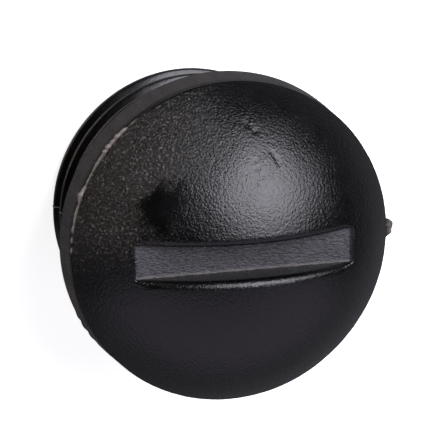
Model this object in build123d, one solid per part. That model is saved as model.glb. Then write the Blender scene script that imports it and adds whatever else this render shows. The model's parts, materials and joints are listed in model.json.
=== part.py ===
from build123d import *
import math
import os

# Slotted plug for a G 1/2 pipe or fitting port, with its sealing ring.
# Millimetres. The origin is the centre of the head's underside, +Z runs up through the dome,
# the slot lies along X, and the gate's vestige stands out of the head's side near +X.

# head
head_radius = 12.3
head_draft = 0.1
rim_height = 3.13
dome_height = 6.41
rim_edge = 0.12
back_edge = 0.1

# driver slot across the dome
slot_width = 2.6
slot_length = 16.7
slot_floor = rim_height + 3.49
slot_lip = 0.55

# threaded shank: parallel pipe thread, 14 turns to the inch, moulded a little under its nominal 20.96 mm
thread_radius = 10.43
thread_pitch = 1.814
thread_depth = 1.16
crest_width = 0.3
flank_angle = 27.5
thread_overcut = 0.12
shank_length = 9.75
lead_in = 0.35
crest_phase = 69.6

# plain neck under the head, which carries the sealing ring
neck_radius = 9.2
neck_length = 2.1

# hollow inside the shank and the dome
mouth_radius = 7.7
cavity_radius = 7.5
mouth_edge = 0.3
dome_wall = 2.0
trough_wall = 1.6

# sealing ring
ring_section = 1.8
ring_clearance = 0.05

# vestige of the sheared gate
gate_angle = -3.0
gate_width = 1.9
gate_height = 1.3
gate_proud = 0.95
gate_sink = 0.3
gate_taper = 16.0
gate_level = rim_height / 2

core_radius = thread_radius - thread_depth
dome_radius = (head_radius**2 + dome_height**2) / (2 * dome_height)
dome_centre = rim_height + dome_height - dome_radius
apex = rim_height + dome_height
overrun = 1.0
near = 0.01


def turned(points):
    """A solid of revolution about Z from an outline of (radius, height) points."""
    outline = [(r, 0, z) for r, z in points]
    return revolve(make_face(Polyline(*outline, close=True)), Axis.Z, 360)


def head_blank():
    """Drafted side band with the spherical dome on it, the slot not yet cut."""
    bottom = Edge.make_line((0, 0, 0), (head_radius + head_draft, 0, 0))
    side = Edge.make_line((head_radius + head_draft, 0, 0), (head_radius, 0, rim_height))
    half = math.asin(head_radius / dome_radius) / 2
    on_dome = (dome_radius * math.sin(half), 0, dome_centre + dome_radius * math.cos(half))
    crown = Edge.make_three_point_arc((head_radius, 0, rim_height), on_dome, (0, 0, apex))
    axis = Edge.make_line((0, 0, apex), (0, 0, 0))
    blank = revolve(make_face([bottom, side, crown, axis]), Axis.Z, 360)
    circles = blank.edges().filter_by(GeomType.CIRCLE).group_by(Axis.Z)
    blank = fillet(circles[0], back_edge)
    rim = [e for e in blank.edges().filter_by(GeomType.CIRCLE) if abs(e.center().Z - rim_height) < near]
    return fillet(rim, rim_edge)


def slotted_head():
    """The head with its driver slot, whose two long upper edges are rounded."""
    height = apex + overrun - slot_floor
    span = 2 * head_radius + overrun
    blank = head_blank()
    head = blank - Pos(0, 0, slot_floor + height / 2) * Box(span, slot_width, height)
    lips = [
        e for e in head.edges()
        if abs(abs(e.center().Y) - slot_width / 2) < near and e.center().Z > slot_floor + slot_lip / 2
    ]
    beyond_slot = Box(span, slot_width + 4 * slot_lip, 2 * apex) - Box(slot_length, span, 4 * apex)
    return fillet(lips, slot_lip) + (blank & beyond_slot)


def gate_vestige():
    """Stub of the moulding gate, broken off short, on the side of the head."""
    root = Plane(origin=(head_radius - gate_sink, 0, gate_level), x_dir=(0, 1, 0), z_dir=(1, 0, 0))
    section = root * Rectangle(gate_width, gate_height)
    stub = extrude(section, gate_proud + gate_sink, taper=gate_taper)
    return Rot(0, 0, gate_angle) * stub


def groove_turns():
    """Helical groove between the thread's crests, one solid a turn, from past the end to the neck."""
    turns = math.ceil((shank_length - neck_length / 2) / thread_pitch) + 1
    start = -neck_length / 2 - turns * thread_pitch
    crest_at_zero = lead_in - shank_length - thread_pitch * crest_phase / 360
    groove_at_zero = crest_at_zero + thread_pitch / 2
    phase = -360 * ((groove_at_zero - start) % thread_pitch) / thread_pitch
    slope = math.tan(math.radians(flank_angle))
    mouth_half = (thread_pitch - crest_width) / 2 + thread_overcut * slope
    root_half = (thread_pitch - crest_width) / 2 - thread_depth * slope
    outer_radius = thread_radius + thread_overcut
    profile = make_face(Polyline(
        (core_radius, 0, -root_half),
        (outer_radius, 0, -mouth_half),
        (outer_radius, 0, mouth_half),
        (core_radius, 0, root_half),
        close=True,
    ))
    turn = sweep(profile, path=Helix(thread_pitch, thread_pitch, core_radius), is_frenet=True)
    return [Pos(0, 0, start + i * thread_pitch) * (Rot(0, 0, phase) * turn) for i in range(turns)]


def shank():
    """Neck, thread with run-out at the neck, and the lead-in at the end."""
    run_out = thread_radius - neck_radius
    blank = turned([
        (0, rim_height / 2),
        (neck_radius, rim_height / 2),
        (neck_radius, -neck_length),
        (thread_radius, -neck_length - run_out),
        (thread_radius, lead_in - shank_length),
        (thread_radius - lead_in, -shank_length),
        (0, -shank_length),
    ])
    return blank - groove_turns()


def cavity():
    """Drafted hollow of the shank and dome, with the slot's trough left standing in it."""
    shoulder = slot_floor - trough_wall
    below_mouth = -shank_length - overrun
    bore = turned([
        (0, below_mouth),
        (mouth_radius + mouth_edge + overrun, below_mouth),
        (mouth_radius, mouth_edge - shank_length),
        (cavity_radius, shoulder),
        (0, shoulder),
    ])
    inner_dome = Pos(0, 0, dome_centre) * Sphere(dome_radius - dome_wall)
    under_dome = Pos(0, 0, apex / 2) * Cylinder(cavity_radius, apex)
    trough = Box(2 * head_radius, slot_width + 2 * trough_wall, 2 * apex)
    pockets = (inner_dome & under_dome) - trough
    return bore + pockets


def plug_body():
    """Head, gate vestige and threaded shank as one hollow moulding."""
    return slotted_head() + gate_vestige() + shank() - cavity()


def sealing_ring():
    """Round-section ring that turns on the neck, just under the head."""
    level = -ring_clearance - ring_section / 2
    centre_radius = neck_radius + ring_clearance + ring_section / 2
    return Pos(0, 0, level) * Torus(centre_radius, ring_section / 2)


os.makedirs("parts", exist_ok=True)
export_step(plug_body(), "parts/plug_body.step")
export_step(sealing_ring(), "parts/sealing_ring.step")
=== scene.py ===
import json
import math

import bmesh
import bpy
import numpy as np
from bpy.props import FloatProperty, FloatVectorProperty, PointerProperty
from mathutils import Matrix, Vector, noise


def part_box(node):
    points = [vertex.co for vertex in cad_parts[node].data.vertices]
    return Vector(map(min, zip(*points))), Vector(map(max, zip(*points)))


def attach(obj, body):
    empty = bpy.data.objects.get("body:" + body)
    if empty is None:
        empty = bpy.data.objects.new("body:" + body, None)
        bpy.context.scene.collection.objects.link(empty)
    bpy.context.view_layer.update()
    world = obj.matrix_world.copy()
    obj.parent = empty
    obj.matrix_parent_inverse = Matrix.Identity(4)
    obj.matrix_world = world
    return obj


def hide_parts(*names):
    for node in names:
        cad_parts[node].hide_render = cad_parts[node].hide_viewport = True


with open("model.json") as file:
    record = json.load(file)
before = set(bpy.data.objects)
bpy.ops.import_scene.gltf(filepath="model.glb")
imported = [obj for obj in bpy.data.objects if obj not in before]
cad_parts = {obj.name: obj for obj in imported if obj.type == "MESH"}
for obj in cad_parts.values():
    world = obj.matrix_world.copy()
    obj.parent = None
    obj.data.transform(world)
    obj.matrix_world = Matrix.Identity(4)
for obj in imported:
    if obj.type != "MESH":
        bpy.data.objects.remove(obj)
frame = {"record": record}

bl_info = {
    "name": "Slotted blanking plug",
    "version": (1, 0, 0),
    "blender": (4, 5, 0),
    "location": "View3D > Sidebar > Plug",
    "description": "Builds a moulded, slotted, threaded blanking plug with its sealing ring",
    "category": "Object",
}

MM = 0.001
PLUG = "plug"
SEAL = "seal"

BODY_LOW, BODY_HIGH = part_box("plug_body")
RING_LOW, RING_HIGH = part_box("sealing_ring")
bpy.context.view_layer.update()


def mount(name):
    """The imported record's mount of that name."""
    return next(m for m in frame["record"]["mounts"] if m["name"] == name)


THREAD = mount("entry_thread")

# ---------------- sizes and colours


def length(name, description, default_mm):
    """A length property, in metres, whose default is given in millimetres."""
    return FloatProperty(
        name=name, description=description, default=default_mm * MM, precision=5, unit="LENGTH"
    )


def angle(name, description, default_degrees):
    """An angle property whose default is given in degrees."""
    return FloatProperty(
        name=name, description=description, default=math.radians(default_degrees), subtype="ANGLE"
    )


def colour(name, description, default):
    """A linear colour property."""
    return FloatVectorProperty(
        name=name, description=description, default=default, size=3, min=0.0, max=1.0, subtype="COLOR"
    )


class PlugSizes(bpy.types.PropertyGroup):
    """Sizes of the moulding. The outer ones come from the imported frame."""

    underside_radius: length("Underside radius", "Head's radius at its underside", BODY_HIGH.y / MM)
    draft: length("Draft", "How much the side band narrows towards the rim", 0.1)
    rim_height: length("Rim height", "Height of the side band", 3.13)
    dome_height: length("Dome height", "Height of the dome over the rim", 6.41)
    slot_width: length("Slot width", "Width of the driver slot", 2.6)
    slot_length: length("Slot length", "Length of the slot's floor", 16.7)
    slot_floor: length("Slot floor", "Height of the slot's floor over the rim", 3.49)
    lip_radius: length("Lip radius", "Rounding of the slot's two long edges", 0.55)
    shank_length: length("Shank length", "From the underside to the shank's end", -BODY_LOW.z / MM)
    thread_radius: length("Thread radius", "Radius over the crests", THREAD["dims"]["r_mm"])
    thread_pitch: length("Thread pitch", "From one crest to the next", 1.814)
    thread_depth: length("Thread depth", "From crest to root", 1.16)
    crest_width: length("Crest width", "Width of the crest between its flanks", 0.3)
    flank: angle("Flank angle", "Slope of the thread's flanks", 27.5)
    crest_phase: angle("Crest phase", "Direction in which the last crest meets the lead-in", 69.6)
    lead_in: length("Lead-in", "Chamfer at the shank's end", 0.35)
    neck_radius: length("Neck radius", "Radius of the plain neck", 9.2)
    neck_length: length("Neck length", "Length of the plain neck", 2.1)
    mouth_radius: length("Mouth radius", "Radius of the hollow at the shank's end", 7.7)
    cavity_radius: length("Cavity radius", "Radius of the hollow under the dome", 7.5)
    dome_wall: length("Dome wall", "Wall thickness of the dome", 2.0)
    trough_wall: length("Trough wall", "Wall thickness round the slot", 1.6)


class PlugFinish(bpy.types.PropertyGroup):
    """Surface flaws and colours of the moulding."""

    flash: length("Rim flash", "How far the ragged flash stands out of the rim", 0.24)
    flash_from: angle("Flash from", "Direction where the rim flash begins", 118.0)
    flash_to: angle("Flash to", "Direction where the rim flash ends", 186.0)
    back_flash: length("Back edge flash", "How far the scalloped flash stands out", 0.09)
    waviness: length("Waviness", "Height of the dome's slow sink and swell", 0.02)
    parting: angle("Parting line", "Direction of the mould's parting line", -2.7)
    grain_size: length("Grain size", "Size of the leathery moulded grain", 0.2)
    plastic: colour("Plastic", "Colour of the moulding", (0.0014, 0.0013, 0.0016))
    # pale warm tone: the whitened tear of the gate, and also painted highlight, painted glints and
    # painted sheen on the black plastic
    bruised: colour("Bruised plastic", "Colour of torn or worn edges", (0.175, 0.155, 0.137))
    rubber: colour("Rubber", "Colour of the sealing ring", (0.016, 0.016, 0.016))


class PlugStage(bpy.types.PropertyGroup):
    """The camera and the lights."""

    tilt_slot: angle("Tilt about the slot", "How far the view tips about the slot's direction", 15.26)
    tilt_cross: angle("Tilt across the slot", "How far the view tips across the slot", 16.87)
    roll: angle("Roll", "Turn of the view about its own axis", 0.26)
    distance: length("Distance", "From the camera to the rim's centre", 410.0)
    right: length("Right", "Rim centre's place right of the view's centre", 0.609)
    below: length("Below", "Rim centre's place below the view's centre", 1.455)
    lens: FloatProperty(name="Lens", description="Focal length on a 36 mm sensor", default=445.1)
    floor: colour("Floor", "Colour of the floor", (0.92, 0.92, 0.92))
    power: FloatProperty(name="Light", description="Strength of all the lights", default=1.0, min=0.0)


# ---------------- mesh building


def add_object(name, data):
    """A new object with that data, linked to the scene."""
    added = bpy.data.objects.new(name, data)
    bpy.context.scene.collection.objects.link(added)
    return added


class Skin:
    """Rows of points, in millimetres, with the faces between them and the finish masks."""

    # the paleness mask holds real wear on the gate and the parting fins, and painted highlight and
    # painted sheen on the rim flash, scallops, thread crests, slot corner and side band
    masks = ("grained", "worn", "brushed", "scuffed")

    def __init__(self):
        self.points = []
        self.values = {name: [] for name in self.masks}
        self.faces = []
        self.count = 0

    def row(self, points, **values):
        """Adds points and returns their indices."""
        points = np.asarray(points, float).reshape(-1, 3)
        self.points.append(points)
        for name in self.masks:
            self.values[name].append(np.broadcast_to(values.get(name, 0.0), len(points)))
        self.count += len(points)
        return np.arange(self.count - len(points), self.count)

    def band(self, a, b, closed=True):
        """Quads between two rows of equal length."""
        last = len(a) if closed else len(a) - 1
        for i in range(last):
            j = (i + 1) % len(a)
            self.faces.append((a[i], b[i], b[j], a[j]))

    def bands(self, rows, closed=True):
        """Quads between each row and the next."""
        for a, b in zip(rows, rows[1:]):
            self.band(a, b, closed)

    def zipper(self, a, b):
        """Triangles between two closed rows of different lengths, matched by direction about Z."""
        at = np.concatenate(self.points)
        rows = []
        for ids in (a, b):
            turn = np.arctan2(at[ids, 1], at[ids, 0]) % (2 * math.pi)
            start = int(np.argmin(turn))
            ids, turn = np.roll(ids, -start), np.roll(turn, -start)
            rows.append((np.append(ids, ids[0]), np.append(turn, turn[0] + 2 * math.pi)))
        (ids_a, turn_a), (ids_b, turn_b) = rows
        i = j = 0
        while i < len(ids_a) - 1 or j < len(ids_b) - 1:
            step_a = j == len(ids_b) - 1 or (i < len(ids_a) - 1 and turn_a[i + 1] <= turn_b[j + 1])
            if step_a:
                self.faces.append((ids_a[i], ids_b[j], ids_a[i + 1]))
                i += 1
            else:
                self.faces.append((ids_a[i], ids_b[j], ids_b[j + 1]))
                j += 1

    def to_object(self, name):
        """A welded, smooth-shaded object in metres with the masks as point attributes."""
        mesh = bpy.data.meshes.new(name)
        mesh.from_pydata(np.concatenate(self.points) * MM, [], [tuple(map(int, f)) for f in self.faces])
        for mask in self.masks:
            attribute = mesh.attributes.new(mask, "FLOAT", "POINT")
            attribute.data.foreach_set("value", np.concatenate(self.values[mask]).astype(np.float32))
        build = bmesh.new()
        build.from_mesh(mesh)
        bmesh.ops.remove_doubles(build, verts=build.verts, dist=0.0008 * MM)
        bmesh.ops.recalc_face_normals(build, faces=build.faces)
        for face in build.faces:
            face.smooth = True
        build.to_mesh(mesh)
        build.free()
        return add_object(name, mesh)


def ramp(x, low, high):
    """Smooth step from 0 at low to 1 at high."""
    t = np.clip((np.asarray(x, float) - low) / (high - low), 0.0, 1.0)
    return t * t * (3 - 2 * t)


def ripple(points, size, seed=0.0):
    """Smooth noise from -1 to 1 at points in millimetres, with features of that size."""
    offset = Vector((seed * 17.3, seed * 5.1, seed * 11.7))
    return np.array([noise.noise(Vector(p) / size + offset) for p in np.atleast_2d(points)])


def circle(radius, height, turn):
    """Points on a circle about Z. Radius and height may change from point to point."""
    turn = np.asarray(turn)
    radius = np.broadcast_to(radius, turn.shape)
    height = np.broadcast_to(height, turn.shape)
    return np.column_stack((radius * np.cos(turn), radius * np.sin(turn), height))


def even_turns(count):
    """Directions of that many stations round a full turn."""
    return np.arange(count) * 2 * math.pi / count


# how roundly the thread's crests and roots bend, in millimetres
THREAD_SOFTNESS = 0.09


class Shape:
    """The moulding's sizes in millimetres, and the curves worked out from them."""

    def __init__(self, sizes, finish):
        for name in PlugSizes.__annotations__:
            value = getattr(sizes, name)
            setattr(self, name, value if name in ("crest_phase", "flank") else value / MM)
        self.finish = finish
        self.rim_radius = self.underside_radius - self.draft
        self.dome_radius = (self.rim_radius**2 + self.dome_height**2) / (2 * self.dome_height)
        self.centre = self.rim_height + self.dome_height - self.dome_radius
        self.floor_z = self.rim_height + self.slot_floor
        self.half_slot = self.slot_width / 2

    def dome(self, x, y):
        """Height of the dome over a place."""
        return self.centre + np.sqrt(self.dome_radius**2 - x**2 - y**2)

    def envelope(self, z):
        """Radius of the shank without its thread: neck, run-out, full radius and lead-in."""
        run_out = np.clip(-z - self.neck_length, 0.0, self.thread_radius - self.neck_radius)
        lead = np.clip(self.lead_in - self.shank_length - z, 0.0, self.lead_in)
        return self.neck_radius + run_out - lead

    def groove_depth(self, phase):
        """Depth of the thread's groove at an axial distance from the crest's middle."""
        p = np.abs((phase + self.thread_pitch / 2) % self.thread_pitch - self.thread_pitch / 2)
        raw = (p - self.crest_width / 2) / math.tan(self.flank)
        rising = (raw + np.sqrt(raw**2 + THREAD_SOFTNESS**2)) / 2
        left = self.thread_depth - rising
        return self.thread_depth - (left + np.sqrt(left**2 + THREAD_SOFTNESS**2)) / 2

    def crest_line(self, turn):
        """Height of the last crest's middle in a direction."""
        climb = self.thread_pitch * (turn - self.crest_phase) / (2 * math.pi)
        return self.lead_in - self.shank_length + climb

    def shank_radius(self, turn, z):
        """Radius of the shank's surface."""
        threaded = self.thread_radius - self.groove_depth(z - self.crest_line(turn))
        return np.minimum(self.envelope(z), threaded)


# ---------------- the dome and its slot


# how far inside the rim the dome's grid stops, and the rounding beside the slot's floor, in millimetres
DISC_INSET, CORNER_RADIUS = 0.32, 0.08

# share of the grid's half length that the slot's end wall takes
END_DRAFT = 0.006

# rows of the grid over half the slot and the dome beside it, and columns along it
FLOOR_LANES, CORNER_LANES, WALL_LANES, LIP_LANES, DOME_LANES = 9, 2, 6, 7, 76
SLOT_COLUMNS, END_COLUMNS = 64, 28

# directions, in degrees, of the scuffed side: its middle, and how far off the scuffs thin out and end
SCUFF_MIDDLE, SCUFF_FULL, SCUFF_GONE = 140, 24, 54

# the polished patch: middle, lean and size in millimetres
PATCH_X, PATCH_Y, PATCH_LEAN, PATCH_SIZE = -6.6, 4.3, 0.5, 2.1


def slot_half(shape, x):
    """One side of the slot's section in the upright plane at x, as (y, z) from its middle outwards."""
    bow = math.sqrt(shape.dome_radius**2 - x**2)
    wall = shape.half_slot
    floor = shape.floor_z - shape.centre
    wall_depth = math.sqrt(bow**2 - wall**2) - floor
    lip = min(shape.lip_radius, 0.7 * wall_depth)
    corner = min(CORNER_RADIUS, 0.2 * wall_depth)
    hub_y = wall + lip
    hub_z = math.sqrt((bow - lip) ** 2 - hub_y**2)
    swing = math.pi / 2 + math.asin(hub_y / (bow - lip))
    floor_y = np.linspace(0, wall - corner, FLOOR_LANES + 1)
    bend = np.linspace(0, math.pi / 2, CORNER_LANES + 1)[1:]
    wall_z = np.linspace(floor + corner, hub_z, WALL_LANES + 1)[1:]
    sweep = np.linspace(0, swing, LIP_LANES + 1)[1:]
    y = np.concatenate((
        floor_y, wall - corner + corner * np.sin(bend), np.full(WALL_LANES, wall),
        hub_y - lip * np.cos(sweep),
    ))
    z = np.concatenate((
        np.full(FLOOR_LANES + 1, floor), floor + corner - corner * np.cos(bend), wall_z,
        hub_z + lip * np.sin(sweep),
    ))
    return y, shape.centre + z


def mirrored(half):
    """A whole column of points, from -Y to +Y, from its +Y half."""
    return np.concatenate((half[:0:-1] * (1, -1, 1), half))


def outer_loop(columns):
    """The points round the outside of a grid of columns, in order."""
    top = [c[-1] for c in columns[-2::-1]]
    low = [c[0] for c in columns[1:-1]]
    return np.concatenate((columns[-1], top, columns[0][-2::-1], low))


def dome_column(shape, u, u_end, disc):
    """One column of points across the dome, from -Y to +Y, at u from -1 to 1 along the slot."""
    side, run = math.copysign(1.0, u), abs(u)
    narrow = math.sqrt(1 - u * u / 2)
    near_x = min(run, u_end) * disc
    near_y, near_z = slot_half(shape, near_x)
    if run > u_end:
        spread = float(ramp(run, u_end + END_DRAFT, 1.0))
        even = np.linspace(0, shape.half_slot + 1.3 * shape.lip_radius, len(near_y))
        near_y = near_y + (even * narrow - near_y) * spread
        near_x = run * disc * (1 - spread + spread * np.sqrt(1 - (near_y / disc) ** 2 / 2))
        near_z = shape.dome(near_x, near_y)
    v = near_y[-1] / (disc * narrow)
    v_lanes = v + (1 - v) * (np.arange(1, DOME_LANES + 1) / DOME_LANES)
    far_y = v_lanes * disc * narrow
    far_x = run * disc * np.sqrt(1 - v_lanes**2 / 2)
    far = np.column_stack((side * far_x, far_y, shape.dome(far_x, far_y)))
    near = np.column_stack((side * near_x * np.ones(len(near_y)), near_y, near_z))
    return mirrored(np.concatenate((near, far)))


def scuffed_side(turn):
    """1 on the scuffed side of the head, 0 away from it, by direction in radians."""
    off = np.abs(np.degrees(turn) % 360 - SCUFF_MIDDLE)
    return 1 - ramp(off, SCUFF_FULL, SCUFF_GONE)


def dome_masks(points, shape):
    """Finish masks: grain, scuffs and a polished patch on the dome, the slot floor's streaks and its
    painted light, and a painted highlight line along the slot's lower corner.
    """
    x, y, z = points.T
    radius = np.hypot(x, y)
    in_slot = (np.abs(y) < shape.half_slot + 0.02) & (z < shape.dome(x, y) - 0.03)
    floor = in_slot & (z < shape.floor_z + 0.05) & (np.abs(y) < shape.half_slot - 0.03)
    scuffed = ramp(radius, 5.0, 10.5) * scuffed_side(np.arctan2(y, x))
    across = (x - PATCH_X - PATCH_LEAN * (y - PATCH_Y)) / PATCH_SIZE
    ragged = 0.4 * ripple(points, 0.8, 13.0)
    polished = 1 - ramp(np.hypot(across, (y - PATCH_Y) / PATCH_SIZE) + ragged, 0.2, 1.3)
    # a thin pale line along the floor's lower corner in the slot: a painted highlight line
    corner_highlight = in_slot & (np.abs(z - shape.floor_z - 0.05) < 0.06) & (y < -shape.half_slot + 0.1)
    return {
        "grained": np.where(in_slot, 0.25, 1.0 - 0.75 * polished),
        "brushed": floor.astype(float),
        "scuffed": scuffed * (1 - polished),
        "worn": np.where(corner_highlight, 0.3 + 0.35 * ripple(points, 0.3, 15.0), 0.0),
    }


def build_dome(skin, shape):
    """The dome with the slot in it, as a grid. Returns its outer loop."""
    disc = shape.rim_radius - DISC_INSET
    u_end = shape.slot_length / 2 / disc
    inner = np.linspace(0, u_end, SLOT_COLUMNS + 1)
    outer = np.linspace(u_end + END_DRAFT, 1, END_COLUMNS)
    half = np.concatenate((inner, outer))
    stations = np.concatenate((-half[:0:-1], half))
    columns = []
    for u in stations:
        points = dome_column(shape, u, u_end, disc)
        columns.append(skin.row(points, **dome_masks(points, shape)))
    skin.bands(columns, closed=False)
    return outer_loop(columns)


# ---------------- side band, underside, shank


# points round the head and round the shank
HEAD_STATIONS, SHANK_STATIONS = 690, 288

# radius, in millimetres, of the circle on which the head's ragged edges take their noise
RAG_RADIUS = 11.8

# depth of the side band's hollow under the torn flash, and height of the rim's unevenness
UNDERCUT = 0.16
STRAY = 0.02

# number of half-scallops round the underside's edge, and the sector that has them
SCALLOP_WAVES = 37
SCALLOPS_FROM, SCALLOPS_TO = math.radians(206), math.radians(234)

# sectors of the side band painted paler, partly as dust and partly as painted sheen where the band
# reflects light, and the sector painted paler still
DUST_SHEEN_FROM, DUST_SHEEN_TO = math.radians(78), math.radians(229)
THICK_DUST_SHEEN_FROM, THICK_DUST_SHEEN_TO = math.radians(192), math.radians(222)

# the rim's torn tongues: (direction and half-width in degrees, size)
TEARS = (
    (178.5, 0.8, 0.5), (174.8, 0.9, 0.55), (171.0, 1.2, 0.5), (166.0, 3.6, 0.55), (158.8, 3.0, 1.05),
    (152.5, 2.8, 0.35), (146.5, 2.6, 0.55), (140.0, 4.2, 1.25), (133.4, 2.8, 1.0), (127.5, 2.0, 0.2),
)


def torn_flash(turn):
    """Strength of the rim's flash, 0 to 1.5: a few torn tongues with finer tears in them."""
    degrees = np.degrees(turn)
    tongues = sum(size * np.exp(-((degrees - at) / half) ** 4) for at, half, size in TEARS)
    ring = circle(RAG_RADIUS, 0.0, turn)
    tears = 0.8 + 0.75 * ripple(ring, 0.42, 3.0) + 0.55 * ripple(ring, 0.21, 8.0)
    return np.clip(tongues * tears, 0.0, 1.5)


def rag(turn, size, seed):
    """Ragged strength from 0 to 1 round the head, with tears of that size in millimetres at the rim."""
    ring = circle(RAG_RADIUS, 0.0, turn)
    coarse = ripple(ring, size, seed)
    fine = ripple(ring, size * 0.33, seed + 1)
    return np.clip(0.55 + 0.9 * coarse + 0.5 * fine, 0.0, 1.0)


def between(turn, low, high, fade):
    """1 between two directions, fading to 0 outside them. All in radians."""
    middle, half = (low + high) / 2, (high - low) / 2
    off = np.abs((turn - middle + math.pi) % (2 * math.pi) - math.pi)
    return 1 - ramp(off, half - fade, half + fade)


def build_head_side(skin, shape, dome_loop):
    """Rim with its flash, side band, back edge and underside. Returns the underside's inner loop."""
    finish = shape.finish
    turn = even_turns(HEAD_STATIONS)
    rim, top = shape.rim_radius, shape.rim_height
    torn = between(turn, finish.flash_from, finish.flash_to, math.radians(6))
    fin = torn_flash(turn) * torn * finish.flash / MM
    stray = STRAY * rag(turn, 1.6, 9.0)
    undercut = UNDERCUT * between(turn, finish.flash_from, finish.flash_to, math.radians(10))
    scallop = np.abs(np.sin(turn * SCALLOP_WAVES)) * between(turn, SCALLOPS_FROM, SCALLOPS_TO, 0.05)
    scallop = scallop * rag(turn, 1.2, 5.0) * finish.back_flash / MM
    # the torn flash is painted pale in the bruise tone: painted highlight where the flash catches the
    # light
    worn = np.clip(fin / 0.05, 0, 1)
    # the side band is painted paler over its upper and left sectors: partly dust, partly painted sheen
    # where the band reflects light; paler still in the lower left
    dust_and_sheen = between(turn, DUST_SHEEN_FROM, DUST_SHEEN_TO, math.radians(12)) * (0.10 + 0.08 * rag(turn, 1.1, 12.0))
    dust_and_sheen = dust_and_sheen * (1 + between(turn, THICK_DUST_SHEEN_FROM, THICK_DUST_SHEEN_TO, 0.2))
    scuff = scuffed_side(turn)
    rows = []

    def ring(radius, height, grained=0.3, **values):
        rows.append(skin.row(circle(radius, height, turn), grained=grained, **values))

    for inset in (0.24, 0.17, 0.11, 0.07):
        ring(rim - inset, shape.dome(rim - inset, 0.0), grained=1.0, scuffed=scuff)
    ring(rim - 0.04 + 0.3 * fin, top - 0.01 + 0.75 * fin + stray, grained=0.6, worn=0.6 * worn)
    ring(rim + 0.55 * fin + stray, top - 0.02 + 0.75 * fin, worn=worn)
    ring(rim + fin + stray, top - 0.05 + 0.4 * fin, worn=worn)
    ring(rim + 0.5 * fin + 0.5 * stray, top - 0.09, worn=worn)
    ring(rim - 0.8 * undercut + 0.01, top - 0.14, grained=0.2)
    ring(rim - undercut + 0.01, top - 0.19, grained=0.5)
    ring(rim - 0.85 * undercut + 0.012, top - 0.34, grained=0.5)
    ring(rim - 0.5 * undercut + 0.014, top - 0.56, grained=0.5)
    ring(rim - 0.15 * undercut + 0.018, top - 0.76, grained=0.4, worn=dust_and_sheen)
    for height in np.linspace(top - 0.9, 0.5, 8):
        ring(rim + shape.draft * (1 - height / top), height, worn=dust_and_sheen)
    under = shape.underside_radius
    ring(under - 0.015, 0.26, worn=dust_and_sheen)
    ring(under - 0.005 + 0.3 * scallop, 0.12)
    # the scallops are painted paler in the bruise tone: painted highlight along the scalloped flash
    ring(under - 0.02 + scallop, 0.045, grained=0.2, worn=np.clip(scallop / 0.1, 0, 0.6))
    ring(under - 0.06 + 0.8 * scallop, 0.01, grained=0.2, worn=np.clip(scallop / 0.1, 0, 0.4))
    ring(under - 0.16, 0.0)
    for radius in (11.2, 10.5, 9.8, 9.2):
        ring(radius, 0.0)
    skin.bands(rows)
    skin.zipper(dome_loop, rows[0])
    return rows[-1]


def thread_rows(shape):
    """Axial distances of the thread's rows from a crest's middle, over one pitch."""
    half = shape.thread_pitch / 2
    marks = np.array((0.0, 0.08, 0.12, 0.16, 0.21, 0.29, 0.42, 0.56, 0.67, 0.74, 0.80, half))
    return np.unique(np.concatenate((-marks[1:], marks)))[1:]


def build_shank(skin, shape, underside_loop):
    """Neck, thread and the flat end. Returns the loop at the inner edge of the end."""
    turn = even_turns(SHANK_STATIONS)
    pattern = thread_rows(shape)
    per_pitch = len(pattern)
    top, low = -shape.neck_length, -shape.shank_length
    pitches = int(math.ceil((top - low) / shape.thread_pitch)) + 3
    starts = low - 2 * shape.thread_pitch + np.arange(pitches) * shape.thread_pitch
    base = shape.crest_line(0.0)
    first = base + np.round((starts[0] - base) / shape.thread_pitch) * shape.thread_pitch
    rows = []
    for k in range(pitches * per_pitch):
        offset = first + (k // per_pitch) * shape.thread_pitch + pattern[k % per_pitch]
        z = np.clip(offset + shape.thread_pitch * turn / (2 * math.pi), low, top)
        radius = shape.shank_radius(turn, z)
        # the crests are painted paler in the bruise tone: painted highlight along the thread's crests
        on_crest = np.clip(1 - shape.groove_depth(z - shape.crest_line(turn)) / 0.06, 0, 1)
        rows.append(skin.row(circle(radius, z, turn), grained=0.12, worn=0.3 * on_crest))
    for k in range(len(rows) - 1):
        a, b = rows[k], rows[k + 1]
        for i in range(SHANK_STATIONS - 1):
            skin.faces.append((b[i], a[i], a[i + 1], b[i + 1]))
        if k + 1 + per_pitch < len(rows):
            next_a, next_b = rows[k + per_pitch], rows[k + 1 + per_pitch]
            skin.faces.append((b[-1], a[-1], next_a[0], next_b[0]))
    neck = [skin.row(circle(shape.neck_radius + flare, height, turn), grained=0.12)
            for flare, height in ((0.25, 0.0), (0.08, -0.05), (0.0, -0.16), (0.0, -1.0), (0.0, top))]
    skin.bands(neck)
    skin.zipper(underside_loop, neck[0])
    end = skin.row(circle(shape.shank_radius(turn, np.full(len(turn), low)), low, turn), grained=0.12)
    inner = [end]
    for radius in (8.7, 8.2, shape.mouth_radius + 0.36):
        inner.append(skin.row(circle(radius, low, turn), grained=0.2))
    skin.bands(inner)
    return inner[-1]


# ---------------- the hollow


def build_hollow(skin, shape, mouth_loop):
    """Drafted wall of the hollow and the ceiling with the slot's trough."""
    turn = even_turns(SHANK_STATIONS)
    low = -shape.shank_length
    shoulder = shape.floor_z - shape.trough_wall
    rows = [mouth_loop]
    near_mouth = (low + 0.05, low + 0.17, low + 0.32)
    heights = np.concatenate((near_mouth, np.linspace(low + 1.0, shoulder - 0.5, 12)))
    for height in heights:
        chamfer = max(0.0, low + 0.3 - height)
        up = (height - low) / (shoulder - low)
        radius = shape.mouth_radius + (shape.cavity_radius - shape.mouth_radius) * up + chamfer
        rows.append(skin.row(circle(radius, height, turn), grained=0.25))
    rows.append(skin.row(circle(shape.cavity_radius, shoulder - 0.12, turn), grained=0.25))
    rows.append(skin.row(circle(shape.cavity_radius - 0.05, shoulder - 0.02, turn), grained=0.25))
    skin.bands(rows)
    skin.zipper(rows[-1], build_ceiling(skin, shape, shoulder))


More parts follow.
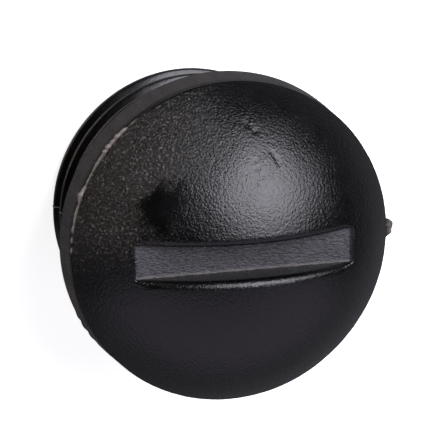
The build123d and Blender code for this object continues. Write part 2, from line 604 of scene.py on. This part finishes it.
def build_ceiling(skin, shape, shoulder):
    """The hollow's roof: two domed pockets beside the flat back of the slot. Returns its outer loop."""
    disc = shape.cavity_radius - 0.16
    wall = shape.half_slot + shape.trough_wall
    roof_radius = shape.dome_radius - shape.dome_wall
    columns = []
    for u in np.linspace(-1, 1, 57):
        narrow = math.sqrt(1 - u * u / 2)
        reach = disc * narrow
        flat = np.linspace(0, wall - 0.1, 12)
        bend = (wall - 0.03, wall, wall, wall, wall + 0.03)
        lift = (0.0, 0.04, 0.4, 0.85, 1.0)
        far = np.linspace(wall + 0.12, reach, 22)
        near_reach = min(1.0, (reach - 0.3) / (wall + 0.12))
        y = np.concatenate((flat, bend)) * near_reach
        y = np.concatenate((y, y[-1] + (far - far[0]) * (reach - y[-1]) / (reach - far[0])))
        rise = np.concatenate((np.zeros(len(flat)), lift, np.ones(len(far))))
        v = y / reach
        x = u * disc * np.sqrt(np.clip(1 - v * v / 2, 0, 1))
        roof = shape.centre + np.sqrt(roof_radius**2 - x**2 - y**2)
        z = shoulder + rise * np.maximum(roof - shoulder, 0.0)
        half = np.column_stack((x, y, z))
        columns.append(skin.row(mirrored(half), grained=0.25))
    for a, b in zip(columns, columns[1:]):
        skin.band(b, a, closed=False)
    return outer_loop(columns)


# ---------------- dents and grain


# heights, in millimetres, of the finest unevenness that is moulded into the points
PEEL_HEIGHT = 0.0028
POCK_HEIGHT = 0.016
STREAK_HEIGHT = 0.006

# the dome's dents and burrs: (x, y, length, width, swing in degrees, height)
DENTS = (
    (2.15, 7.5, 0.36, 0.15, -60, -0.05), (2.4, 7.0, 0.3, 0.14, -75, -0.05),
    (0.62, 6.74, 0.34, 0.12, -5, -0.04), (0.95, 6.2, 0.32, 0.12, 10, -0.035),
    (0.55, 7.25, 0.3, 0.13, 30, -0.03), (1.35, 7.3, 0.5, 0.16, 20, 0.03),
    (1.2, 6.75, 0.5, 0.14, 35, 0.03), (0.65, 9.55, 0.34, 0.15, -30, -0.05),
    (1.0, 9.2, 0.4, 0.15, 20, -0.05), (0.5, 9.85, 0.4, 0.14, 50, -0.04),
    (0.62, 5.72, 0.13, 0.13, 0, 0.05), (2.2, -5.05, 0.3, 0.1, 25, 0.03),
    (3.04, -5.02, 0.4, 0.1, 15, 0.03),
)


def dents(co):
    """Lift of the dome's small dents and burrs at points."""
    lift = np.zeros(len(co))
    for x, y, long, wide, swing, height in DENTS:
        c, d = math.cos(math.radians(swing)), math.sin(math.radians(swing))
        dx, dy = co[:, 0] - x, co[:, 1] - y
        lift += height * np.exp(-((dx * c + dy * d) / long) ** 2 - ((dy * c - dx * d) / wide) ** 2)
    return np.where(co[:, 2] > 0, lift, 0.0)


def roughen(piece, shape):
    """Moves the moulding's points along their normals: slow sink, slight waviness and grain."""
    mesh = piece.data
    count = len(mesh.vertices)
    co = np.zeros(count * 3)
    mesh.vertices.foreach_get("co", co)
    co = co.reshape(-1, 3) / MM
    normal = np.zeros(count * 3)
    mesh.vertex_normals.foreach_get("vector", normal)
    normal = normal.reshape(-1, 3)
    masks = {}
    for name in Skin.masks:
        value = np.zeros(count)
        mesh.attributes[name].data.foreach_get("value", value)
        masks[name] = value
    slow = ripple(co, 4.5, 1.0) + 0.5 * ripple(co, 1.9, 2.0)
    peel = ripple(co, 0.55, 3.0) + 0.7 * ripple(co, 0.3, 4.0)
    pocks = np.clip(ripple(co, 0.24, 5.0) + 0.6 * ripple(co, 0.5, 7.0), 0.0, 1.0)
    streaks = ripple(co * (0.45, 1.0, 1.0), 0.2, 6.0)
    waviness = shape.finish.waviness / MM
    lift = masks["grained"] * (waviness * slow + PEEL_HEIGHT * peel * (1 + masks["scuffed"]))
    lift = lift + POCK_HEIGHT * masks["scuffed"] * pocks + STREAK_HEIGHT * masks["brushed"] * streaks
    co = co + normal * (lift + dents(co))[:, None]
    mesh.vertices.foreach_set("co", (co * MM).ravel())
    mesh.update()


# ---------------- materials


def new_group(name, inputs, outputs):
    """An empty shader node group with float inputs {name: default} and float outputs."""
    group = bpy.data.node_groups.new(name, "ShaderNodeTree")
    for label, default in inputs.items():
        socket = group.interface.new_socket(label, in_out="INPUT", socket_type="NodeSocketFloat")
        socket.default_value = default
    for label in outputs:
        group.interface.new_socket(label, in_out="OUTPUT", socket_type="NodeSocketFloat")
    return group, group.nodes.new("NodeGroupInput"), group.nodes.new("NodeGroupOutput")


def feed(tree, socket, value):
    """Links a socket to an input, or sets the input's value."""
    if isinstance(value, bpy.types.NodeSocket):
        tree.links.new(value, socket)
    else:
        socket.default_value = value


def math_node(tree, operation, a, b, clamp=False):
    """A Math node on two sockets or numbers. Returns its output."""
    node = tree.nodes.new("ShaderNodeMath")
    node.operation = operation
    node.use_clamp = clamp
    feed(tree, node.inputs[0], a)
    feed(tree, node.inputs[1], b)
    return node.outputs[0]


def times(tree, a, b):
    """The product of two sockets or numbers."""
    return math_node(tree, "MULTIPLY", a, b)


def noise_node(tree, vector, scale, detail=3.0, rough=0.5):
    """A Noise texture's factor."""
    node = tree.nodes.new("ShaderNodeTexNoise")
    node.inputs["Scale"].default_value = 1.0
    node.inputs["Detail"].default_value = detail
    node.inputs["Roughness"].default_value = rough
    scaled = tree.nodes.new("ShaderNodeVectorMath")
    scaled.operation = "SCALE"
    tree.links.new(vector, scaled.inputs[0])
    feed(tree, scaled.inputs["Scale"], scale)
    tree.links.new(scaled.outputs[0], node.inputs["Vector"])
    return node.outputs["Fac"]


def map_range(tree, value, low, high, to_low=0.0, to_high=1.0):
    """A clamped, smooth Map Range of a socket."""
    node = tree.nodes.new("ShaderNodeMapRange")
    node.interpolation_type = "SMOOTHSTEP"
    tree.links.new(value, node.inputs["Value"])
    node.inputs["From Min"].default_value = low
    node.inputs["From Max"].default_value = high
    node.inputs["To Min"].default_value = to_low
    node.inputs["To Max"].default_value = to_high
    return node.outputs["Result"]


def moulded_grain_group():
    """Leathery grain of a spark-eroded mould: rounded cells with finer pits between them."""
    group, given, made = new_group(
        "moulded_grain", {"Cells per metre": 3300.0, "Softness": 0.5}, ("Height", "Pits")
    )
    place = group.nodes.new("ShaderNodeTexCoord").outputs["Object"]
    cells = group.nodes.new("ShaderNodeTexVoronoi")
    cells.feature = "SMOOTH_F1"
    scaled = group.nodes.new("ShaderNodeVectorMath")
    scaled.operation = "SCALE"
    group.links.new(place, scaled.inputs[0])
    group.links.new(given.outputs["Cells per metre"], scaled.inputs["Scale"])
    group.links.new(scaled.outputs[0], cells.inputs["Vector"])
    cells.inputs["Scale"].default_value = 1.0
    group.links.new(given.outputs["Softness"], cells.inputs["Smoothness"])
    rate = times(group, given.outputs["Cells per metre"], 1.7)
    fine = noise_node(group, place, rate, 3.0, 0.6)
    height = math_node(group, "SUBTRACT", times(group, fine, 0.9),
                       times(group, cells.outputs["Distance"], 0.7))
    group.links.new(height, made.inputs["Height"])
    pits = map_range(group, fine, 0.52, 0.72)
    group.links.new(pits, made.inputs["Pits"])
    return group


def patchiness_group():
    """Slow uneven patches, as handling and uneven cooling leave them."""
    group, given, made = new_group("patchiness", {"Patches per metre": 350.0}, ("Patch", "Speckle"))
    place = group.nodes.new("ShaderNodeTexCoord").outputs["Object"]
    slow = noise_node(group, place, given.outputs["Patches per metre"], 4.0, 0.55)
    group.links.new(map_range(group, slow, 0.35, 0.68), made.inputs["Patch"])
    rate = times(group, given.outputs["Patches per metre"], 16.0)
    speckle = noise_node(group, place, rate, 2.0, 0.5)
    group.links.new(map_range(group, speckle, 0.57, 0.70), made.inputs["Speckle"])
    return group


def shared_group(name, build):
    """A node group by name, built the first time."""
    return bpy.data.node_groups.get(name) or build()


def place_group(tree, group, values):
    """A group node in a tree, with its inputs set from {name: value}."""
    node = tree.nodes.new("ShaderNodeGroup")
    node.node_tree = group
    for label, value in values.items():
        node.inputs[label].default_value = value
    return node


def grain_at(tree, cells, softness):
    """The moulded grain in a material, at that many cells a metre."""
    group = shared_group("moulded_grain", moulded_grain_group)
    return place_group(tree, group, {"Cells per metre": cells, "Softness": softness})


def patches_at(tree, rate):
    """The patchiness in a material, at that many patches a metre."""
    return place_group(tree, shared_group("patchiness", patchiness_group), {"Patches per metre": rate})


def patchy(tree, patches, low, high):
    """A number that changes from low to high over the patches."""
    return map_range(tree, patches.outputs["Patch"], 0.0, 1.0, low, high)


def mask_of(tree, name):
    """A point attribute as a socket."""
    node = tree.nodes.new("ShaderNodeAttribute")
    node.attribute_name = name
    return node.outputs["Fac"]


def blank_material(name):
    """A material with an empty tree. Returns (material, tree, shader)."""
    material = bpy.data.materials.new(name)
    material.use_nodes = True
    tree = material.node_tree
    tree.nodes.clear()
    shader = tree.nodes.new("ShaderNodeBsdfPrincipled")
    output = tree.nodes.new("ShaderNodeOutputMaterial")
    tree.links.new(shader.outputs[0], output.inputs["Surface"])
    return material, tree, shader


def tinted(tone, strength):
    """A colour made that much stronger."""
    return tuple(strength * c for c in tone)


def mixed_colour(tree, factor, a, b):
    """A colour mix of two colours or sockets."""
    node = tree.nodes.new("ShaderNodeMix")
    node.data_type = "RGBA"
    tree.links.new(factor, node.inputs["Factor"])
    for label, value in (("A", a), ("B", b)):
        linked = isinstance(value, bpy.types.NodeSocket)
        feed(tree, node.inputs[label], value if linked else (*value, 1.0))
    return node.outputs["Result"]


def bump(tree, shader, height, distance_mm):
    """A Bump node from a height to the shader's normal, in millimetres."""
    node = tree.nodes.new("ShaderNodeBump")
    node.inputs["Strength"].default_value = 1.0
    node.inputs["Distance"].default_value = distance_mm * MM
    tree.links.new(height, node.inputs["Height"])
    tree.links.new(node.outputs["Normal"], shader.inputs["Normal"])


# depth of the plastic's grain in millimetres, and the slot floor's streaks a metre and two tones, both
# far paler than the plastic: painted light on the slot floor, with the streaks in it
GRAIN_BUMP = 0.03
STREAKS_PER_METRE = 9000.0
PAINTED_LIT_FLOOR_DARK, PAINTED_LIT_FLOOR_LIGHT = (0.011, 0.0105, 0.0125), (0.054, 0.052, 0.060)


def black_polyamide(finish):
    """Black moulded polyamide: leathery grain, a streaked slot floor painted paler as painted light,
    scuffs with painted glints, and pale edges that are partly wear and partly painted highlight and
    sheen.
    """
    material, tree, shader = blank_material("black_polyamide")
    grain = grain_at(tree, 1 / finish.grain_size, 0.6)
    patches = patches_at(tree, 350.0)
    grained, worn = mask_of(tree, "grained"), mask_of(tree, "worn")
    brushed, scuffed = mask_of(tree, "brushed"), mask_of(tree, "scuffed")
    place = tree.nodes.new("ShaderNodeTexCoord").outputs["Object"]
    stretch = tree.nodes.new("ShaderNodeVectorMath")
    stretch.operation = "MULTIPLY"
    stretch.inputs[1].default_value = (0.45, 1.0, 1.0)
    tree.links.new(place, stretch.inputs[0])
    streaks = noise_node(tree, stretch.outputs[0], STREAKS_PER_METRE, 2.0, 0.5)

    # painted glints: pale specks over the scuffed side that stand in for light glinting off the scuffs;
    # the paleness below joins them with the wear, painted highlight and painted sheen of the mask
    painted_glints = times(tree, patches.outputs["Speckle"], scuffed)
    pale = math_node(tree, "MAXIMUM", worn, times(tree, painted_glints, 0.6), clamp=True)
    base = mixed_colour(tree, patches.outputs["Patch"], tinted(finish.plastic, 0.8),
                        tinted(finish.plastic, 1.25))
    # the slot floor is painted far paler than the plastic: painted light where the key falls on the
    # floor, streaked
    painted_lit_floor = mixed_colour(tree, map_range(tree, streaks, 0.3, 0.7), PAINTED_LIT_FLOOR_DARK, PAINTED_LIT_FLOOR_LIGHT)
    base = mixed_colour(tree, brushed, base, painted_lit_floor)
    base = mixed_colour(tree, pale, base, finish.bruised)
    tree.links.new(base, shader.inputs["Base Color"])

    rough = patchy(tree, patches, 0.20, 0.26)
    for mask, amount in ((grain.outputs["Pits"], 0.08), (brushed, 0.25), (pale, 0.2)):
        rough = math_node(tree, "ADD", rough, times(tree, mask, amount))
    rough = math_node(tree, "ADD", rough, times(tree, scuffed, 0.05), clamp=True)
    tree.links.new(rough, shader.inputs["Roughness"])
    shader.inputs["IOR"].default_value = 1.5

    weight = math_node(tree, "ADD", grained, times(tree, scuffed, 2.2))
    height = times(tree, grain.outputs["Height"], weight)
    height = math_node(tree, "ADD", height, times(tree, times(tree, streaks, brushed), 1.8))
    bump(tree, shader, height, GRAIN_BUMP)
    return material


def torn_polyamide(finish):
    """The gate's sheared face: stretched, whitened plastic."""
    material, tree, shader = blank_material("torn_polyamide")
    patches = patches_at(tree, 900.0)
    worn = mask_of(tree, "worn")
    tone = mixed_colour(tree, patches.outputs["Patch"], tinted(finish.bruised, 0.5),
                        tinted(finish.bruised, 1.2))
    tree.links.new(mixed_colour(tree, worn, finish.plastic, tone), shader.inputs["Base Color"])
    tree.links.new(patchy(tree, patches, 0.4, 0.6), shader.inputs["Roughness"])
    bump(tree, shader, patches.outputs["Speckle"], 0.02)
    return material


def nitrile_rubber(finish):
    """Satin black rubber with a faint bloom."""
    material, tree, shader = blank_material("nitrile_rubber")
    grain = grain_at(tree, 9000.0, 0.3)
    patches = patches_at(tree, 500.0)
    bloomed = tinted(finish.rubber, 1.9)
    tone = mixed_colour(tree, patches.outputs["Patch"], finish.rubber, bloomed)
    tree.links.new(tone, shader.inputs["Base Color"])
    tree.links.new(patchy(tree, patches, 0.46, 0.62), shader.inputs["Roughness"])
    bump(tree, shader, grain.outputs["Height"], 0.008)
    return material


def pale_floor(stage):
    """Pale, softly backlit floor that shows only dimly in the plug's gloss."""
    material, tree, shader = blank_material("pale_floor")
    path = tree.nodes.new("ShaderNodeLightPath")
    patches = patches_at(tree, 20.0)
    tone = mixed_colour(tree, patches.outputs["Patch"], tinted(stage.floor, 0.99), stage.floor)
    dim = tinted(stage.floor, 0.16)
    shown = mixed_colour(tree, path.outputs["Is Glossy Ray"], tone, dim)
    tree.links.new(shown, shader.inputs["Base Color"])
    shader.inputs["Roughness"].default_value = 0.9
    shader.inputs["Specular IOR Level"].default_value = 0.1
    shader.inputs["Emission Color"].default_value = (1, 1, 1, 1)
    glow = times(tree, path.outputs["Is Camera Ray"], 0.8)
    tree.links.new(glow, shader.inputs["Emission Strength"])
    return material


def material_named(name, build, settings):
    """A material by name, built the first time."""
    return bpy.data.materials.get(name) or build(settings)


# ---------------- small pieces


# the gate stub's size at its root and its reach, in millimetres, and how far its root sinks in
GATE_HALF_WIDTH, GATE_HALF_HEIGHT, GATE_REACH, GATE_SINK = 0.98, 0.62, 1.24, 0.3


def build_gate(shape):
    """Stub of the gate on the side band: a tapered block with a torn, sloping end."""
    finish = shape.finish
    build = bmesh.new()
    bmesh.ops.create_cube(build, size=1.0)
    bmesh.ops.subdivide_edges(build, edges=build.edges, cuts=11, use_grid_fill=True)
    worn = []
    for vert in build.verts:
        out, side, up = vert.co.x + 0.5, vert.co.y * 2, vert.co.z * 2
        edge = max(abs(side), abs(up))
        rounding = 1 - 0.12 * (abs(side * up)) ** 2
        shrink = (1 - 0.42 * out) * rounding
        reach = GATE_REACH * out * (1 - 0.18 * edge**3 * out)
        y = GATE_HALF_WIDTH * side * shrink + 0.3 * out
        z = GATE_HALF_HEIGHT * up * shrink
        jag = noise.noise(Vector((out * 2, side * 2.1, up * 2.1))) * 0.12 * out
        vert.co = Vector((reach + jag - GATE_SINK, y + 0.4 * jag, z + 0.4 * jag))
        worn.append(min(1.0, max(0.0, (out - 0.6) * 2.0)))
    mesh = bpy.data.meshes.new("gate_vestige")
    build.to_mesh(mesh)
    build.free()
    attribute = mesh.attributes.new("worn", "FLOAT", "POINT")
    attribute.data.foreach_set("value", worn)
    place = Matrix.Rotation(finish.parting, 4, "Z") @ Matrix.Translation(
        Vector((shape.rim_radius, 0, shape.rim_height / 2)))
    mesh.transform(Matrix.Scale(MM, 4) @ place)
    for polygon in mesh.polygons:
        polygon.use_smooth = True
    return add_object("gate_vestige", mesh)


def build_parting_fins(shape):
    """Thin ragged fins of flash where the mould's halves met along the thread."""
    skin = Skin()
    heights = np.linspace(-shape.shank_length + 0.04, -shape.neck_length - 1.3, 150)
    for seed, turn in ((1.0, shape.finish.parting), (2.0, shape.finish.parting + math.pi)):
        wave = ripple(np.column_stack((heights * 0, heights * 0 + seed * 9, heights)), 0.5, seed)
        root = shape.shank_radius(np.full(len(heights), turn % (2 * math.pi)), heights)
        crest = np.clip((root - shape.thread_radius + 0.25) / 0.25, 0, 1)
        fin = 0.02 + crest * (0.03 + 0.10 * np.clip(wave + 0.25, 0, 1))
        half = 0.05 / shape.thread_radius
        sides = []
        for swings, stand in ((-2, -0.05), (-0.5, 1.0), (0.5, 0.9), (2, -0.05)):
            radius = root + np.where(stand > 0, fin * stand, stand)
            at = turn + half * swings
            points = np.column_stack((radius * math.cos(at), radius * math.sin(at), heights))
            sides.append(skin.row(points, worn=0.9 if stand > 0 else 0.0, grained=0.1))
        skin.bands(sides + sides[:1], closed=False)
        for end in (0, -1):
            skin.faces.append(tuple(s[end] for s in sides))
    return skin.to_object("parting_fins")


def build_ring(shape):
    """Sealing ring with the two fine parting ridges that moulding leaves on it."""
    section = (RING_HIGH.z - RING_LOW.z) / MM / 2
    middle = RING_HIGH.x / MM - section
    level = (RING_HIGH.z + RING_LOW.z) / MM / 2
    turn = even_turns(360)
    skin = Skin()
    rows = []
    for bend in even_turns(44):
        ridge = 0.018 * (max(0.0, abs(math.cos(bend)) - 0.985) / 0.015)
        wave = 0.004 * ripple(circle(middle, bend, turn), 3.0, 8.0)
        radius = section - 0.02 + ridge + wave
        out, up = radius * math.cos(bend), radius * math.sin(bend)
        rows.append(skin.row(circle(middle + out, level + up, turn)))
    skin.bands(rows + rows[:1])
    return skin.to_object("ring_moulding")


# ---------------- stage


# the floor's half width in metres and its gap under the shank in millimetres, and the world's strength
FLOOR_HALF, FLOOR_GAP, SURROUND = 1.2, 0.05, 0.02

# soft lights: (name, direction, distance and size in metres, brightness, tint)
PANELS = (
    ("key", (0.390, 0.425, 0.816), 0.30, (0.26, 0.25), 5.4, (1.0, 0.985, 1.09)),
    ("left", (-0.83, 0.55, 0.10), 0.30, (0.25, 0.07), 3.6, (1.0, 0.88, 0.75)),
    ("card", (0.03, -0.85, 0.52), 0.40, (1.25, 0.46), 0.40, (1.0, 0.92, 1.12)),
)


def view_axes(stage):
    """Rotation whose columns are the view's right, up and back directions."""
    return (Matrix.Rotation(-stage.tilt_cross, 3, "Y")
            @ Matrix.Rotation(-stage.tilt_slot, 3, "X")
            @ Matrix.Rotation(-stage.roll, 3, "Z"))


def add_camera(stage, shape):
    """The camera, looking at the head from above and to the left."""
    axes = view_axes(stage)
    right, up, back = axes.col
    rim_centre = Vector((0, 0, shape.rim_height * MM))
    data = bpy.data.cameras.new("camera")
    data.lens = stage.lens
    data.sensor_width = 36.0
    data.clip_start = 0.01
    camera = add_object("camera", data)
    place = rim_centre - right * stage.right + up * stage.below + back * stage.distance
    camera.matrix_world = Matrix.Translation(place) @ axes.to_4x4()
    bpy.context.scene.camera = camera


def add_panel(name, direction, distance, size, brightness, tint):
    """A soft rectangular light that faces the object, as bright as asked over its whole face."""
    data = bpy.data.lights.new(name, "AREA")
    data.shape = "RECTANGLE"
    data.size, data.size_y = size
    data.energy = 4 * size[0] * size[1] * brightness
    data.color = tint
    lamp = add_object(name, data)
    away = Vector(direction).normalized()
    lamp.location = away * distance
    lamp.rotation_euler = away.to_track_quat("Z", "Y").to_euler()


def add_floor(stage, shape):
    """A large plain floor under the shank's end."""
    half = FLOOR_HALF
    level = (-shape.shank_length - FLOOR_GAP) * MM
    mesh = bpy.data.meshes.new("floor")
    corners = [(-half, -half, level), (half, -half, level), (half, half, level), (-half, half, level)]
    mesh.from_pydata(corners, [], [(0, 1, 2, 3)])
    floor = add_object("floor", mesh)
    floor.data.materials.append(material_named("pale_floor", pale_floor, stage))


def add_world(strength):
    """A dark surround that looks pale where it is seen directly."""
    world = bpy.data.worlds.new("surround")
    world.use_nodes = True
    tree = world.node_tree
    seen = tree.nodes.new("ShaderNodeLightPath").outputs["Is Camera Ray"]
    back = tree.nodes["Background"]
    back.inputs["Color"].default_value = (1, 1, 1, 1)
    tree.links.new(math_node(tree, "ADD", seen, strength), back.inputs["Strength"])
    bpy.context.scene.world = world


# ---------------- operators


def shape_of(context):
    """The moulding's shape from the scene's settings."""
    return Shape(context.scene.plug_sizes, context.scene.plug_finish)


class PLUG_OT_body(bpy.types.Operator):
    """Build the moulded plug in place of its plain solid"""

    bl_idname = "plug.body"
    bl_label = "Plug body"

    def execute(self, context):
        shape = shape_of(context)
        skin = Skin()
        dome_loop = build_dome(skin, shape)
        underside = build_head_side(skin, shape, dome_loop)
        mouth = build_shank(skin, shape, underside)
        build_hollow(skin, shape, mouth)
        piece = skin.to_object("plug_moulding")
        roughen(piece, shape)
        piece.data.materials.append(material_named("black_polyamide", black_polyamide, shape.finish))
        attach(piece, PLUG)
        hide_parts("plug_body")
        return {"FINISHED"}


class PLUG_OT_flaws(bpy.types.Operator):
    """Add the gate's broken stub and the flash on the thread's parting line"""

    bl_idname = "plug.flaws"
    bl_label = "Gate stub and parting flash"

    def execute(self, context):
        shape = shape_of(context)
        gate = build_gate(shape)
        gate.data.materials.append(material_named("torn_polyamide", torn_polyamide, shape.finish))
        fins = build_parting_fins(shape)
        fins.data.materials.append(material_named("black_polyamide", black_polyamide, shape.finish))
        for piece in (gate, fins):
            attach(piece, PLUG)
        return {"FINISHED"}


class PLUG_OT_ring(bpy.types.Operator):
    """Build the moulded sealing ring in place of its plain solid"""

    bl_idname = "plug.ring"
    bl_label = "Sealing ring"

    def execute(self, context):
        shape = shape_of(context)
        ring = build_ring(shape)
        ring.data.materials.append(material_named("nitrile_rubber", nitrile_rubber, shape.finish))
        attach(ring, SEAL)
        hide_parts("sealing_ring")
        return {"FINISHED"}


class PLUG_OT_stage(bpy.types.Operator):
    """Add the floor, the soft lights and the camera"""

    bl_idname = "plug.stage"
    bl_label = "Stage"

    def execute(self, context):
        shape = shape_of(context)
        stage = context.scene.plug_stage
        context.scene.view_settings.view_transform = "Standard"
        add_world(SURROUND)
        add_floor(stage, shape)
        add_camera(stage, shape)
        for name, direction, distance, size, brightness, tint in PANELS:
            add_panel(name, direction, distance, size, brightness * stage.power, tint)
        return {"FINISHED"}


class PLUG_PT_panel(bpy.types.Panel):
    """Buttons for each piece, with the sizes and colours they use"""

    bl_idname = "PLUG_PT_panel"
    bl_label = "Slotted blanking plug"
    bl_space_type = "VIEW_3D"
    bl_region_type = "UI"
    bl_category = "Plug"

    def draw(self, context):
        column = self.layout.column()
        for operator in (PLUG_OT_body, PLUG_OT_flaws, PLUG_OT_ring, PLUG_OT_stage):
            column.operator(operator.bl_idname)
        for settings in (context.scene.plug_sizes, context.scene.plug_finish, context.scene.plug_stage):
            box = self.layout.box()
            for name in type(settings).__annotations__:
                box.prop(settings, name)


CLASSES = (
    PlugSizes, PlugFinish, PlugStage,
    PLUG_OT_body, PLUG_OT_flaws, PLUG_OT_ring, PLUG_OT_stage, PLUG_PT_panel,
)


def register():
    """Registers the classes and puts their settings on the scene."""
    for item in CLASSES:
        bpy.utils.register_class(item)
    bpy.types.Scene.plug_sizes = PointerProperty(type=PlugSizes)
    bpy.types.Scene.plug_finish = PointerProperty(type=PlugFinish)
    bpy.types.Scene.plug_stage = PointerProperty(type=PlugStage)


def unregister():
    """Takes the settings and classes away again."""
    del bpy.types.Scene.plug_stage
    del bpy.types.Scene.plug_finish
    del bpy.types.Scene.plug_sizes
    for item in reversed(CLASSES):
        bpy.utils.unregister_class(item)


def main():
    """Builds everything."""
    register()
    bpy.ops.plug.body()
    bpy.ops.plug.flaws()
    bpy.ops.plug.ring()
    bpy.ops.plug.stage()


if __name__ == "__main__":
    main()
